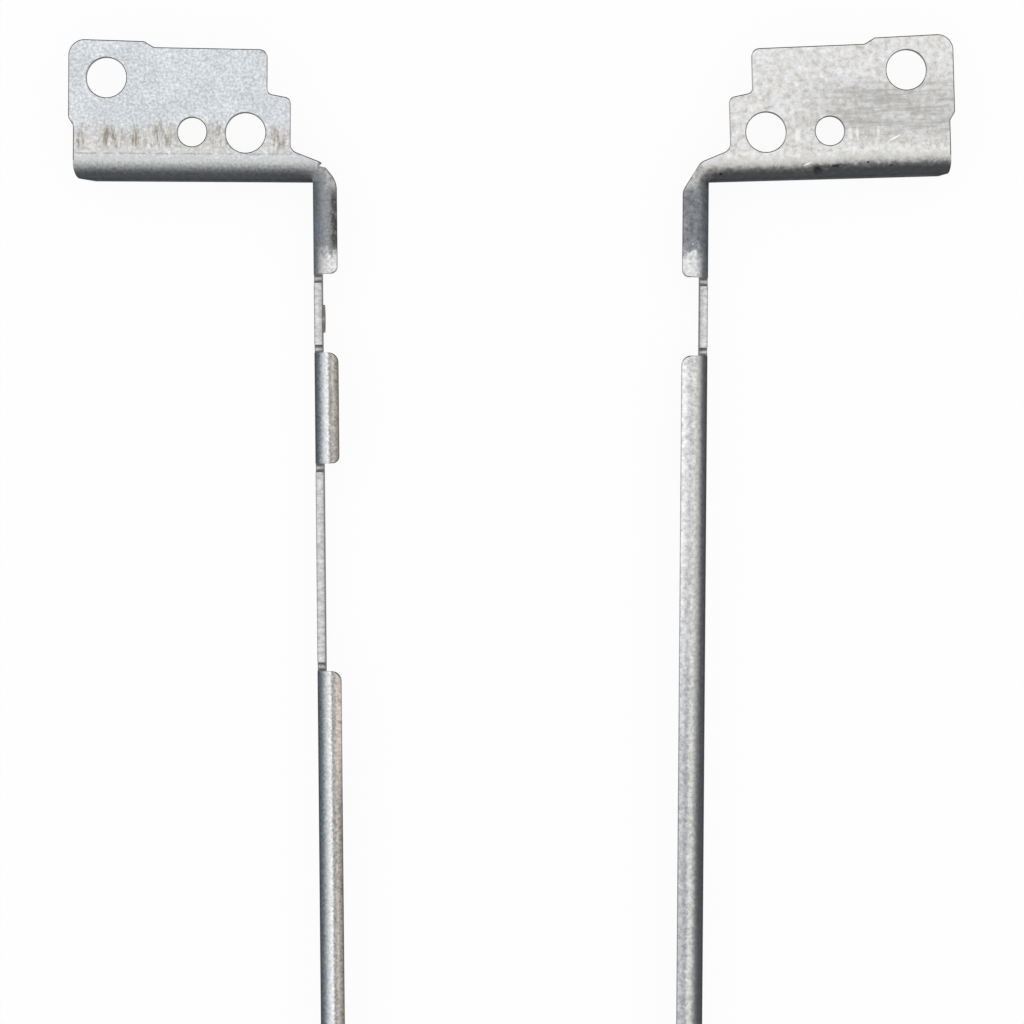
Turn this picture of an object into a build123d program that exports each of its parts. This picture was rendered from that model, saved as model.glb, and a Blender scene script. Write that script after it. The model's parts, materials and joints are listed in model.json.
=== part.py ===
from build123d import *
import os
from dataclasses import dataclass
from math import asin, degrees, sqrt

# Pair of laptop screen hinges in millimetres.
# X runs across the pair, Y up the rails and Z out of the screen.

# Screen bracket sheet
SHEET = 0.8
WALL_DEPTH = 5.6
BEND_RADIUS = 1.7
CORNER_RADIUS = 0.2
SHEAR_ROUND = 0.12
NOTCH_MARGIN = 0.1
RELIEF_WIDTH = 0.85
RELIEF_DEPTH = 0.9
TRIM_MARGIN = 1.0
TRIM_ROUND = 0.2

# Screw plate outline, measured along the bend from the corner and away from it
PLATE_LENGTH = 23.95
PLATE_OVERHANG = 0.5
PLATE_OVERHANG_START = 5.25
PLATE_OVERHANG_RISE = 0.8
PLATE_HEIGHT = 12.95
PLATE_INNER_SLOPE = 0.15
PLATE_STEP_FOOT = 15.9
PLATE_STEP_RUN = 1.0
PLATE_STEP_RISE = 0.6
PLATE_OUTER_SLOPE = 0.2
PLATE_LEDGE_HEIGHT = 8.1
PLATE_LEDGE_SLOPE = 0.45
PLATE_LEDGE_WIDTH = 2.35
PLATE_NECK_EDGE = 2.2
PLATE_NECK_FOOT = 2.9
PLATE_OUTER_ROUND = 1.6
PLATE_STEP_ROUND = 0.5
PLATE_INNER_ROUND = 0.8
PLATE_LEDGE_ROUND = 0.6
PLATE_NECK_ROUND = 1.0
SCREW_HOLE = 4.0
LOCATING_HOLE = 2.9

# Corner between plate and rail, measured from the outer faces
CORNER_BACK = 0.9
CORNER_RISE = 1.7
CORNER_ROUND = 1.2
NICK_DEPTH = 0.27
NICK_DROP = 0.38
NICK_LENGTH = 1.2
NICK_RISE = 1.05
NICK_FALL = 0.28

# Rail
LIP_ROUND = 0.7
LIP_TOP_ROUND = 1.0
SIDE_HOLE = 2.1
SIDE_HOLE_DROP = 1.7
SIDE_HOLE_FIRST = 13.85
SIDE_HOLE_FROM_PIN = 18.65
BOSS_DIAMETER = 2.8
BOSS_HEIGHT = 0.25

# Hinge, measured from the pin
RAIL_TO_PIN = 148.0
NECK_LENGTH = 7.0
SWING = 140.0
RUNNING_CLEARANCE = 0.05
KEY_CLEARANCE = 0.04
SPRING_CLEARANCE = 0.15
THREAD_CLEARANCE = 0.02

# Hinge pin
JOURNAL_RADIUS = 1.75
JOURNAL_FLATS = 2.6
COLLAR_RADIUS = 3.0
COLLAR_LENGTH = 1.0
STAKE_RADIUS = 2.4
STAKE_LENGTH = 0.7
STAKE_CHAMFER = 0.25
THREAD_RADIUS = 1.4
THREAD_OVERRUN = 1.1
THREAD_CHAMFER = 0.25

# Washers, springs and nut on the pin
INNER_WASHER_RADIUS = 3.2
OUTER_WASHER_RADIUS = 2.75
FRICTION_WASHER = 0.4
STOP_WASHER = 0.8
STOP_OVERLAP = 0.5
STOP_CLEARANCE = 0.6
SPRING_COUNT = 4
SPRING_RADIUS = 2.7
SPRING_SHEET = 0.4
SPRING_CONE = 0.15
THRUST_WASHER = 0.4
THRUST_RADIUS = 2.9
NUT_FLATS = 5.5
NUT_HEIGHT = 2.2
NUT_CHAMFER = 0.35

# Base bracket
BASE_SHEET = 1.2
BASE_BEND = 1.8
FOOT_GAP = 1.0
FOOT_WIDTH = 9.0
FOOT_REACH = 14.0
ARM_CLEARANCE = 0.2
ARM_HEIGHT = 3.3
FOOT_ROUND = 1.5
FOOT_HOLE = 2.8
FOOT_HOLE_EDGE = 3.0
FOOT_HOLE_PITCH = 6.0
TAB_WIDTH = 1.8
TAB_THICKNESS = 0.7
TAB_CLEARANCE = 0.15

# Layout of the pair: distance between the two rails' outer faces
RAIL_SPACING = 39.75


@dataclass(frozen=True)
class Hand:
    """The sizes in which the left and the right bracket differ."""

    name: str
    plate_extra: float
    wall_set_back: float
    shoulder_drop: float
    shoulder_round: float
    lip_width: float
    corner_opening: float
    turn: float
    outer_screw_margins: tuple
    inner_screw: tuple
    locating_hole: tuple
    lip_gaps: tuple
    has_boss: bool
    has_nick: bool


LEFT = Hand(
    name="left",
    plate_extra=0.0,
    wall_set_back=1.9,
    shoulder_drop=0.2,
    shoulder_round=2.4,
    lip_width=2.45,
    corner_opening=0.9,
    turn=0.55,
    outer_screw_margins=(3.3, 3.85),
    inner_screw=(6.7, 4.6),
    locating_hole=(12.05, 4.65),
    lip_gaps=((9.45, 17.35), (28.45, 49.25)),
    has_boss=True,
    has_nick=True,
)
RIGHT = Hand(
    name="right",
    plate_extra=0.3,
    wall_set_back=0.9,
    shoulder_drop=1.15,
    shoulder_round=1.2,
    lip_width=2.65,
    corner_opening=2.05,
    turn=0.45,
    outer_screw_margins=(4.25, 3.5),
    inner_screw=(5.8, 4.55),
    locating_hole=(12.2, 4.5),
    lip_gaps=((9.8, 17.65),),
    has_boss=False,
    has_nick=False,
)

# Heights and lengths that follow from the sizes above
RAW_EDGE = WALL_DEPTH - BEND_RADIUS - NOTCH_MARGIN
WALL_CUT = SHEET + 2 * TRIM_MARGIN
PLATE_OVERHANG_FULL = PLATE_OVERHANG_START + PLATE_OVERHANG_RISE
PLATE_INNER_EDGE = PLATE_NECK_EDGE + PLATE_LEDGE_WIDTH
PLATE_LEDGE_TOP = PLATE_LEDGE_HEIGHT + PLATE_LEDGE_SLOPE
PLATE_STEP_TOP = PLATE_STEP_FOOT + PLATE_STEP_RUN
PLATE_STEP_LOW = PLATE_HEIGHT + PLATE_INNER_SLOPE
PLATE_STEP_HIGH = PLATE_STEP_LOW + PLATE_STEP_RISE
PLATE_TOP = PLATE_STEP_HIGH + PLATE_OUTER_SLOPE
SIDE_HOLE_HEIGHT = RAW_EDGE - SIDE_HOLE_DROP
SIDE_HOLE_LAST = RAIL_TO_PIN - SIDE_HOLE_FROM_PIN
TAB_INNER = OUTER_WASHER_RADIUS + TAB_CLEARANCE
STOP_RADIUS = TAB_INNER + STOP_OVERLAP
EAR_RADIUS = TAB_INNER + TAB_THICKNESS
PIN_HEIGHT = EAR_RADIUS
RAIL_LENGTH = RAIL_TO_PIN - NECK_LENGTH
LIP_END = RAIL_LENGTH - RELIEF_WIDTH
BASE_START = COLLAR_LENGTH + FRICTION_WASHER
BASE_END = BASE_START + BASE_SHEET
STOP_START = BASE_END + FRICTION_WASHER
SPRING_START = STOP_START + STOP_WASHER
SPRING_HEIGHT = SPRING_SHEET + SPRING_CONE
THRUST_START = SPRING_START + SPRING_COUNT * SPRING_HEIGHT
NUT_START = THRUST_START + THRUST_WASHER
ARM_LOW = WALL_DEPTH - PIN_HEIGHT + ARM_CLEARANCE
FOOT_FACE = ARM_LOW + ARM_HEIGHT
FOOT_START = EAR_RADIUS + FOOT_GAP
FOOT_HOLE_ROW = FOOT_START + FOOT_WIDTH / 2
FOOT_HOLE_LAST = BASE_START + FOOT_REACH - FOOT_HOLE_EDGE
FOOT_HOLE_FIRST = FOOT_HOLE_LAST - FOOT_HOLE_PITCH

# The corner turns about this upright line, on the panel side of both walls
CORNER_AXIS = Axis((CORNER_RADIUS, -CORNER_RADIUS, 0), (0, 0, 1))


def plate_end(hand):
    """Length of the screw plate along its bend."""
    return PLATE_LENGTH + hand.plate_extra


def on_plate(hand, along, up):
    """Point of the screw plate, in the bracket's own plan."""
    corner = Pos(CORNER_RADIUS, -CORNER_RADIUS)
    opened = corner * Rot(0, 0, hand.corner_opening) * corner.inverse()
    spot = (opened * Pos(along, up)).position
    return (spot.X, spot.Y)


def screw_centres(hand):
    """Outer hole, set in from the plate's end and top, and inner hole, from the corner."""
    from_end, from_top = hand.outer_screw_margins
    outer = on_plate(hand, plate_end(hand) - from_end, PLATE_TOP - from_top)
    return outer, on_plate(hand, *hand.inner_screw)


def angle_section():
    """Section of wall, bend and wide flange; the wall's outer face is at zero."""
    reach = PLATE_TOP + TRIM_MARGIN
    corners = [
        (0, 0),
        (SHEET, 0),
        (SHEET, WALL_DEPTH - SHEET),
        (reach, WALL_DEPTH - SHEET),
        (reach, WALL_DEPTH),
        (0, WALL_DEPTH),
    ]
    rounds = [0, 0, BEND_RADIUS - SHEET, 0, 0, BEND_RADIUS]
    return make_face(FilletPolyline(*corners, radius=rounds, close=True))


def folded_sheet(hand):
    """The bent sheet before its outline is sheared: rail, corner and plate."""
    section = angle_section()
    rail_plane = Plane((0, -CORNER_RADIUS, 0), x_dir=(-1, 0, 0), z_dir=(0, 1, 0))
    rail = extrude(rail_plane * section, -(RAIL_LENGTH - CORNER_RADIUS))
    plate_plane = Plane((CORNER_RADIUS, 0, 0), x_dir=(0, 1, 0), z_dir=(1, 0, 0))
    plate_section = (plate_plane * section).rotate(CORNER_AXIS, hand.corner_opening)
    plate = extrude(plate_section, plate_end(hand) - CORNER_RADIUS)
    long_plate = extrude(plate_section, plate_end(hand) + PLATE_OVERHANG - CORNER_RADIUS)
    plate_front = split(long_plate, Plane.XY.offset(RAW_EDGE), keep=Keep.TOP)
    corner = revolve(plate_section, CORNER_AXIS, 90 - hand.corner_opening)
    return rail + corner + plate + plate_front


def plate_outline(hand):
    """Plan of the screw plate and the first length of lip."""
    edge = -hand.lip_width
    first_end = -hand.lip_gaps[0][0]
    end = plate_end(hand)
    outer_edge = end + PLATE_OVERHANG
    corners = [
        (on_plate(hand, end, -TRIM_MARGIN), TRIM_ROUND),
        (on_plate(hand, end, PLATE_OVERHANG_START), PLATE_STEP_ROUND),
        (on_plate(hand, outer_edge, PLATE_OVERHANG_FULL), PLATE_STEP_ROUND),
        (on_plate(hand, outer_edge, PLATE_TOP), PLATE_OUTER_ROUND),
        (on_plate(hand, PLATE_STEP_TOP, PLATE_STEP_HIGH), PLATE_STEP_ROUND),
        (on_plate(hand, PLATE_STEP_FOOT, PLATE_STEP_LOW), PLATE_STEP_ROUND),
        (on_plate(hand, PLATE_INNER_EDGE, PLATE_HEIGHT), PLATE_INNER_ROUND),
        (on_plate(hand, PLATE_INNER_EDGE, PLATE_LEDGE_TOP), PLATE_LEDGE_ROUND),
        (on_plate(hand, PLATE_NECK_EDGE, PLATE_LEDGE_HEIGHT), PLATE_LEDGE_ROUND),
        (on_plate(hand, PLATE_NECK_EDGE, PLATE_NECK_FOOT), PLATE_NECK_ROUND),
        ((-CORNER_BACK, CORNER_RISE), CORNER_ROUND),
        ((edge, -hand.shoulder_drop), hand.shoulder_round),
        ((edge, first_end), LIP_ROUND),
        ((TRIM_MARGIN, first_end), TRIM_ROUND),
        ((TRIM_MARGIN, -TRIM_MARGIN), TRIM_ROUND),
    ]
    points = [point for point, _ in corners]
    rounds = [radius for _, radius in corners]
    return make_face(FilletPolyline(*points, radius=rounds, close=True))


def corner_nick():
    """Small notch between plate and lip, where the sheet has torn at the corner."""
    tip = Vector(-CORNER_BACK + NICK_DEPTH, CORNER_RISE - NICK_DROP)
    above = tip + Vector(-NICK_LENGTH, NICK_RISE)
    below = tip + Vector(-NICK_LENGTH, -NICK_FALL)
    return make_face(Polyline(tip, above, below, close=True))


def lip_outlines(hand):
    """Plans of the further lengths of lip, one below each gap."""
    starts = [gap[1] for gap in hand.lip_gaps]
    ends = [gap[0] for gap in hand.lip_gaps[1:]] + [LIP_END]
    outlines = []
    for start, end in zip(starts, ends):
        corners = [
            (TRIM_MARGIN, -start),
            (-hand.lip_width, -start),
            (-hand.lip_width, -end),
            (TRIM_MARGIN, -end),
        ]
        rounds = [TRIM_ROUND, LIP_TOP_ROUND, LIP_ROUND, TRIM_ROUND]
        outlines.append(make_face(FilletPolyline(*corners, radius=rounds, close=True)))
    return outlines


def shearing_die(hand):
    """Upright die that leaves the flat outline and rounds its front edges."""
    plate = plate_outline(hand)
    for centre in screw_centres(hand):
        plate -= Pos(*centre) * Circle(SCREW_HOLE / 2)
    plate -= Pos(*on_plate(hand, *hand.locating_hole)) * Circle(LOCATING_HOLE / 2)
    die = []
    for outline in [plate] + lip_outlines(hand):
        block = extrude(Pos(0, 0, RAW_EDGE) * outline, WALL_DEPTH - RAW_EDGE)
        front_edges = block.faces().sort_by(Axis.Z)[-1].edges()
        die.append(fillet(front_edges, SHEAR_ROUND))
    return die


def relief_slot(centre):
    """Round-ended slot through the rail's wall, open to the front."""
    bottom = RAW_EDGE - RELIEF_DEPTH + RELIEF_WIDTH / 2
    height = WALL_DEPTH - bottom
    slot = Pos(0, bottom) * Circle(RELIEF_WIDTH / 2)
    slot += Pos(0, bottom + height / 2) * Rectangle(RELIEF_WIDTH, height)
    side = Plane((TRIM_MARGIN, -centre, 0), x_dir=(0, 1, 0), z_dir=(1, 0, 0))
    return extrude(side * slot, -WALL_CUT)


def wall_end_cut(hand):
    """Wedge that slants the end of the plate's wall, from the front edge down."""
    end = plate_end(hand)
    corners = [
        (end, WALL_DEPTH),
        (end - hand.wall_set_back, 0),
        (end + TRIM_MARGIN, 0),
        (end + TRIM_MARGIN, WALL_DEPTH),
    ]
    face = Plane.XZ.offset(-BEND_RADIUS) * make_face(Polyline(*corners, close=True))
    return extrude(face, BEND_RADIUS + TRIM_MARGIN).rotate(CORNER_AXIS, hand.corner_opening)


def rail_ear():
    """Neck and round ear that carry the pin, in the wall's own plane."""
    low = -PIN_HEIGHT
    neck_edge = Line((NECK_LENGTH, low), (NECK_LENGTH, RAW_EDGE - PIN_HEIGHT))
    outline = make_hull([neck_edge] + Circle(EAR_RADIUS).edges())
    return extrude(outline - double_d(KEY_CLEARANCE), -SHEET)


def side_hole(distance, diameter, length, start):
    """Round bar across the rail's wall, used for its screw holes and boss."""
    spot = Plane((start, -distance, SIDE_HOLE_HEIGHT), z_dir=(-1, 0, 0))
    return extrude(spot * Circle(diameter / 2), length)


def screen_bracket(hand):
    """The one pressed sheet of a screen bracket, drawn as a right-hand one."""
    sheet = folded_sheet(hand)
    bracket = split(sheet, Plane.XY.offset(RAW_EDGE), keep=Keep.BOTTOM)
    for block in shearing_die(hand):
        bracket += sheet & block
    if hand.has_nick:
        bracket -= extrude(Pos(0, 0, RAW_EDGE) * corner_nick(), WALL_DEPTH - RAW_EDGE)
    bracket -= wall_end_cut(hand)
    bracket += hinge_plane() * rail_ear()
    if hand.has_boss:
        bracket += side_hole(SIDE_HOLE_FIRST, BOSS_DIAMETER, BOSS_HEIGHT, -SHEET)
    for start, end in hand.lip_gaps:
        bracket -= relief_slot(start + RELIEF_WIDTH / 2)
        bracket -= relief_slot(end - RELIEF_WIDTH / 2)
    bracket -= relief_slot(LIP_END + RELIEF_WIDTH / 2)
    for distance in (SIDE_HOLE_FIRST, SIDE_HOLE_LAST):
        bracket -= side_hole(distance, SIDE_HOLE, WALL_CUT, TRIM_MARGIN)
    return bracket


def hinge_plane():
    """Where the hinge pieces go: along the pin from the wall's outer face."""
    return Plane((0, -RAIL_TO_PIN, PIN_HEIGHT), x_dir=(0, 1, 0), z_dir=(1, 0, 0))


def double_d(clearance=0.0):
    """Round with two flats, the shape that keys the washers to the pin."""
    radius = JOURNAL_RADIUS + clearance
    return Circle(radius) & Rectangle(2 * radius, JOURNAL_FLATS + 2 * clearance)


def slab(outline, start, thickness):
    """Flat piece that lies across the pin."""
    return extrude(Pos(0, 0, start) * outline, thickness)


def hinge_pin():
    """Turned pin: staked tail, collar, journal with two flats, threaded end."""
    stake = slab(Circle(STAKE_RADIUS), -SHEET - STAKE_LENGTH, STAKE_LENGTH)
    stake = chamfer(stake.edges().sort_by(Axis.Z)[0], STAKE_CHAMFER)
    tail = slab(double_d(), -SHEET, SHEET)
    collar = slab(Circle(COLLAR_RADIUS), 0, COLLAR_LENGTH)
    journal = slab(double_d(), COLLAR_LENGTH, NUT_START - COLLAR_LENGTH)
    thread_length = NUT_HEIGHT + THREAD_OVERRUN
    thread = slab(Circle(THREAD_RADIUS), NUT_START, thread_length)
    thread = chamfer(thread.edges().sort_by(Axis.Z)[-1], THREAD_CHAMFER)
    thread &= slab(Rectangle(2 * THREAD_RADIUS, JOURNAL_FLATS), NUT_START, thread_length)
    return stake + tail + collar + journal + thread


def keyed_washer(radius, start, thickness):
    """Flat washer that cannot turn on the pin."""
    return slab(Circle(radius) - double_d(KEY_CLEARANCE), start, thickness)


def stop_washer():
    """Washer whose wide part lets the base bracket's tab swing only so far."""
    tab_angle = degrees(asin(TAB_WIDTH / 2 / TAB_INNER)) + STOP_CLEARANCE
    wide_start = 180 + SWING + tab_angle
    wide_arc = 360 - SWING - 2 * tab_angle
    arc = CenterArc((0, 0), STOP_RADIUS, wide_start, wide_arc)
    wide = make_face([Line((0, 0), arc @ 0), arc, Line(arc @ 1, (0, 0))])
    outline = Circle(OUTER_WASHER_RADIUS) + wide - double_d(KEY_CLEARANCE)
    return slab(outline, STOP_START, STOP_WASHER)


def disc_spring(number):
    """Dished spring washer; every second one is turned over."""
    inner = JOURNAL_RADIUS + SPRING_CLEARANCE
    inner_low, outer_low = (0, SPRING_CONE) if number % 2 == 0 else (SPRING_CONE, 0)
    start = SPRING_START + number * SPRING_HEIGHT
    corners = [
        (inner, start + inner_low),
        (SPRING_RADIUS, start + outer_low),
        (SPRING_RADIUS, start + outer_low + SPRING_SHEET),
        (inner, start + inner_low + SPRING_SHEET),
    ]
    return revolve(Plane.XZ * make_face(Polyline(*corners, close=True)), Axis.Z)


def lock_nut():
    """Hexagon nut with its outer corners turned off."""
    hexagon = RegularPolygon(NUT_FLATS / 2, 6, major_radius=False)
    corner_radius = NUT_FLATS / sqrt(3)
    nut = slab(hexagon - Circle(THREAD_RADIUS + THREAD_CLEARANCE), NUT_START, NUT_HEIGHT)
    rim = slab(Circle(corner_radius), NUT_START, NUT_HEIGHT)
    return nut & chamfer(rim.edges().sort_by(Axis.Z)[-1], NUT_CHAMFER)


def base_bracket():
    """Folded sheet on the pin, drawn with the screen shut."""
    neck_edge = Line((FOOT_START, ARM_LOW), (FOOT_START, FOOT_FACE - BASE_BEND))
    outline = make_hull([neck_edge] + Circle(EAR_RADIUS).edges())
    ear = slab(outline, BASE_START, BASE_SHEET)
    corners = [
        (BASE_START, ARM_LOW),
        (BASE_END, ARM_LOW),
        (BASE_END, FOOT_FACE - BASE_SHEET),
        (BASE_START + FOOT_REACH, FOOT_FACE - BASE_SHEET),
        (BASE_START + FOOT_REACH, FOOT_FACE),
        (BASE_START, FOOT_FACE),
    ]
    rounds = [0, 0, BASE_BEND - BASE_SHEET, 0, 0, BASE_BEND]
    section = make_face(FilletPolyline(*corners, radius=rounds, close=True))
    across_foot = Plane((FOOT_START, 0, 0), x_dir=(0, 0, 1), z_dir=(-1, 0, 0))
    foot = extrude(across_foot * section, -FOOT_WIDTH)
    free_corners = foot.edges().filter_by(Axis.Y).group_by(Axis.Z)[-1]
    foot = fillet(free_corners, FOOT_ROUND)
    for place in (FOOT_HOLE_FIRST, FOOT_HOLE_LAST):
        spot = Plane((FOOT_HOLE_ROW, FOOT_FACE, place), z_dir=(0, -1, 0))
        foot -= extrude(spot * Circle(FOOT_HOLE / 2), BASE_SHEET)
    tab_outline = Pos(-(EAR_RADIUS + TAB_INNER) / 2, 0) * Rectangle(TAB_THICKNESS, TAB_WIDTH)
    tab_outline &= Circle(EAR_RADIUS)
    tab = slab(tab_outline, BASE_END, FRICTION_WASHER + STOP_WASHER)
    hole = slab(Circle(JOURNAL_RADIUS + RUNNING_CLEARANCE), BASE_START, BASE_SHEET)
    return ear + foot + tab - hole


def hinge_pieces():
    """Everything on one pin, in pin coordinates."""
    pieces = {
        "hinge_pin": hinge_pin(),
        "inner_friction_washer": keyed_washer(INNER_WASHER_RADIUS, COLLAR_LENGTH, FRICTION_WASHER),
        "base_bracket": base_bracket(),
        "outer_friction_washer": keyed_washer(OUTER_WASHER_RADIUS, BASE_END, FRICTION_WASHER),
        "stop_washer": stop_washer(),
    }
    for number in range(SPRING_COUNT):
        pieces[f"disc_spring_{number + 1}"] = disc_spring(number)
    pieces["thrust_washer"] = keyed_washer(THRUST_RADIUS, THRUST_START, THRUST_WASHER)
    pieces["lock_nut"] = lock_nut()
    return pieces


def hand_pieces(hand):
    """All pieces of one hand, where they lie in the pair."""
    pieces = {"screen_bracket": screen_bracket(hand)}
    for name, piece in hinge_pieces().items():
        pieces[name] = hinge_plane() * piece
    place = Pos(RAIL_SPACING / 2, 0, 0) * Rot(0, 0, -hand.turn)
    placed = {}
    for name, piece in pieces.items():
        piece = place * piece
        if hand is LEFT:
            piece = mirror(piece, Plane.YZ)
        placed[f"{hand.name}_{name}"] = piece
    return placed


pair = hand_pieces(LEFT) | hand_pieces(RIGHT)
box = Compound(children=[Compound(piece.solids()) for piece in pair.values()]).bounding_box()
to_origin = Pos(-box.center().X, -box.center().Y, -box.min.Z)

os.makedirs("parts", exist_ok=True)
for name, piece in pair.items():
    node = Compound((to_origin * piece).solids())
    node.label = name
    export_step(node, f"parts/{name}.step")
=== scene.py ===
# %% [markdown]
# # A pair of laptop screen hinges
# Two pressed steel brackets lie on a white table, seen straight from above. Each has a screw plate, a long
# rail with a turned-in lip and, at the far end, the friction hinge that the laptop's lid swings on. The
# shapes come ready made from the CAD frame, so this lesson is about finishes: zinc that sparkles, rolling
# lines, polished and stained spots, painted shade and highlights on the bends, walls and edges, and steel
# that was turned, lapped, blued or plated.

# %% Load the frame
import json
from math import atan2, degrees, radians
from types import SimpleNamespace

import bpy
from mathutils import Color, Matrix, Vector


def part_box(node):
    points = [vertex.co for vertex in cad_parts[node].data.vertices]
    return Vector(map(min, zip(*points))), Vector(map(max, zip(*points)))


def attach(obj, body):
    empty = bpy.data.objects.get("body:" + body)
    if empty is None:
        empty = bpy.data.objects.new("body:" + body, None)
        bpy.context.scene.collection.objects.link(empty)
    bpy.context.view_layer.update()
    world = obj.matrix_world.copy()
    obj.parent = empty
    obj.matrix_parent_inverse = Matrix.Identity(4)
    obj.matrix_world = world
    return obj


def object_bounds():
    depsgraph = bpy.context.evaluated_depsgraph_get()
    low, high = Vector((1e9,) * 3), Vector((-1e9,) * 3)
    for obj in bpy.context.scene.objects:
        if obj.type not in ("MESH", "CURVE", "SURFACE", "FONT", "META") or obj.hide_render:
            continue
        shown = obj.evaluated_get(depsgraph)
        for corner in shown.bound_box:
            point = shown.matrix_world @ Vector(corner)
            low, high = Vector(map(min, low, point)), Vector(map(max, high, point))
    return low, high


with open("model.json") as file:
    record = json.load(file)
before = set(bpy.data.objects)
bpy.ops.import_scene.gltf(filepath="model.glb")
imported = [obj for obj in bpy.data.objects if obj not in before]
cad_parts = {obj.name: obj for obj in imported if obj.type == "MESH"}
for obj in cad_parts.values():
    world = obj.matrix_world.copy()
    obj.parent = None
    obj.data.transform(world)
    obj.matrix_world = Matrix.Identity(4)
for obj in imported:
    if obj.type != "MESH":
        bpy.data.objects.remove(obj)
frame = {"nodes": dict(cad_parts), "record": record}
cad_low, cad_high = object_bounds()
MM = 0.001
print("CAD box in mm:", [round(side / MM, 2) for side in cad_high - cad_low])

# %% [markdown]
# ## The fold corners
# On each bracket the bend of the screw plate and the bend of the rail meet in one corner. It is the best
# place to measure from, as a toolmaker would. The frame doesn't give it, but it gives the hinge's axis, and
# from there the corner is a known step along the pin and a known length up the rail.

# %% Find the fold corners
RAIL_TO_PIN = 148.0 * MM
PIN_TO_RAIL_FACE = 1.4 * MM
PLATE_OPENING = {"left": 0.9, "right": 2.05}
OUTWARD = {"left": -1, "right": 1}

joints = {joint["name"]: joint for joint in frame["record"]["behaviour"]["joints"]}
fold_corner = {}
rail_tilt = {}
plate_tilt = {}
for hand, outward in OUTWARD.items():
    hinge = joints[f"{hand}_hinge"]
    pin_axis = Vector(hinge["axis"])
    up_rail = Vector((-pin_axis.y, pin_axis.x, 0))
    on_rail_face = Vector(hinge["pos_m"]) - outward * PIN_TO_RAIL_FACE * pin_axis
    fold_corner[hand] = on_rail_face + RAIL_TO_PIN * up_rail
    rail_tilt[hand] = degrees(atan2(pin_axis.y, pin_axis.x))
    plate_tilt[hand] = rail_tilt[hand] + outward * PLATE_OPENING[hand]
    print(hand, "fold corner in mm:", [round(part / MM, 2) for part in fold_corner[hand].xy])

# %% [markdown]
# ## Camera
# The photograph was taken from straight above, from about half a metre away, so that the walls of the
# brackets hardly show. A camera without any turn looks down the Z axis with +Y up in the picture, which is
# just what is wanted. Its lens follows from the width of the view at the front face of the screw plates.

# %% Set up the camera
PICTURE_WIDTH = 102.4 * MM
CAMERA_DISTANCE = 500 * MM
PICTURE_CENTRE_FROM_FOLDS = Vector((0.12, -33.298)) * MM
SENSOR_WIDTH = 36.0

mounts = {mount["name"]: mount for mount in frame["record"]["mounts"]}
front_face = mounts["left_plate_screws"]["pos_m"][2]
between_folds = (fold_corner["left"] + fold_corner["right"]).xy / 2
camera_data = bpy.data.cameras.new("photo_camera")
camera_data.sensor_width = SENSOR_WIDTH
camera_data.lens = SENSOR_WIDTH * CAMERA_DISTANCE / PICTURE_WIDTH
camera = bpy.data.objects.new("photo_camera", camera_data)
camera.location = (*(between_folds + PICTURE_CENTRE_FROM_FOLDS), front_face + CAMERA_DISTANCE)
bpy.context.scene.collection.objects.link(camera)
bpy.context.scene.camera = camera
print("lens in mm:", round(camera_data.lens, 1))

# %% [markdown]
# ## Small helpers for shader trees
# A procedural finish is a tree of small nodes. These helpers add one node each and connect it in the same
# line, so that a finish further down reads like a recipe. Colours are written as on a paint chart, from 0 to
# 255, and turned into the linear light that shaders work with.

# %% Node helpers
CHART_WHITE = 255


def chart(red, green, blue):
    """A paint chart colour as a shader colour with alpha."""
    shade = Color((red / CHART_WHITE, green / CHART_WHITE, blue / CHART_WHITE))
    return (*shade.from_srgb_to_scene_linear(), 1.0)


def add(tree, kind, inputs=None, **settings):
    """One node, with its settings made and its inputs set or connected."""
    made = tree.nodes.new(kind)
    for name, value in settings.items():
        setattr(made, name, value)
    for key, value in (inputs or {}).items():
        if isinstance(value, bpy.types.NodeSocket):
            tree.links.new(value, made.inputs[key])
        else:
            made.inputs[key].default_value = value
    return made


def compute(tree, operation, first, second=0.0):
    """A sum, product or other arithmetic of two numbers."""
    return add(tree, "ShaderNodeMath", {0: first, 1: second}, operation=operation).outputs[0]


def times(tree, *factors):
    """The product of several numbers."""
    product = factors[0]
    for factor in factors[1:]:
        product = compute(tree, "MULTIPLY", product, factor)
    return product


def length_of(tree, first, second):
    """Length of a flat vector from its two parts."""
    squares = compute(tree, "ADD", times(tree, first, first), times(tree, second, second))
    return compute(tree, "SQRT", squares)


def axes(tree, vector):
    """The three numbers of a vector."""
    parts = add(tree, "ShaderNodeSeparateXYZ", {"Vector": vector})
    return parts.outputs[0], parts.outputs[1], parts.outputs[2]


def step(tree, value, start, end, low=0.0, high=1.0):
    """A smooth rise from low to high while value goes from start to end."""
    limits = {"Value": value, "From Min": start, "From Max": end, "To Min": low, "To Max": high}
    return add(tree, "ShaderNodeMapRange", limits, interpolation_type="SMOOTHSTEP").outputs["Result"]


def band(tree, value, low, high, soft):
    """One between low and high, zero outside, with soft borders."""
    rise = step(tree, value, low - soft, low + soft)
    fall = step(tree, value, high + soft, high - soft)
    return times(tree, rise, fall)


# %% [markdown]
# ## Patterns and marks
# Three patterns make most of a metal's surface. Noise gives grain, and noise that is stretched gives lines.
# A row of tones turns any measure, such as the distance from a bend, into a colour. A mark is one soft spot
# of a chosen size and turn, for a scratch or a stain that sits at a known place.

# %% Pattern helpers
NOISE_LOW = 0.3
NOISE_HIGH = 0.7


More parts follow.
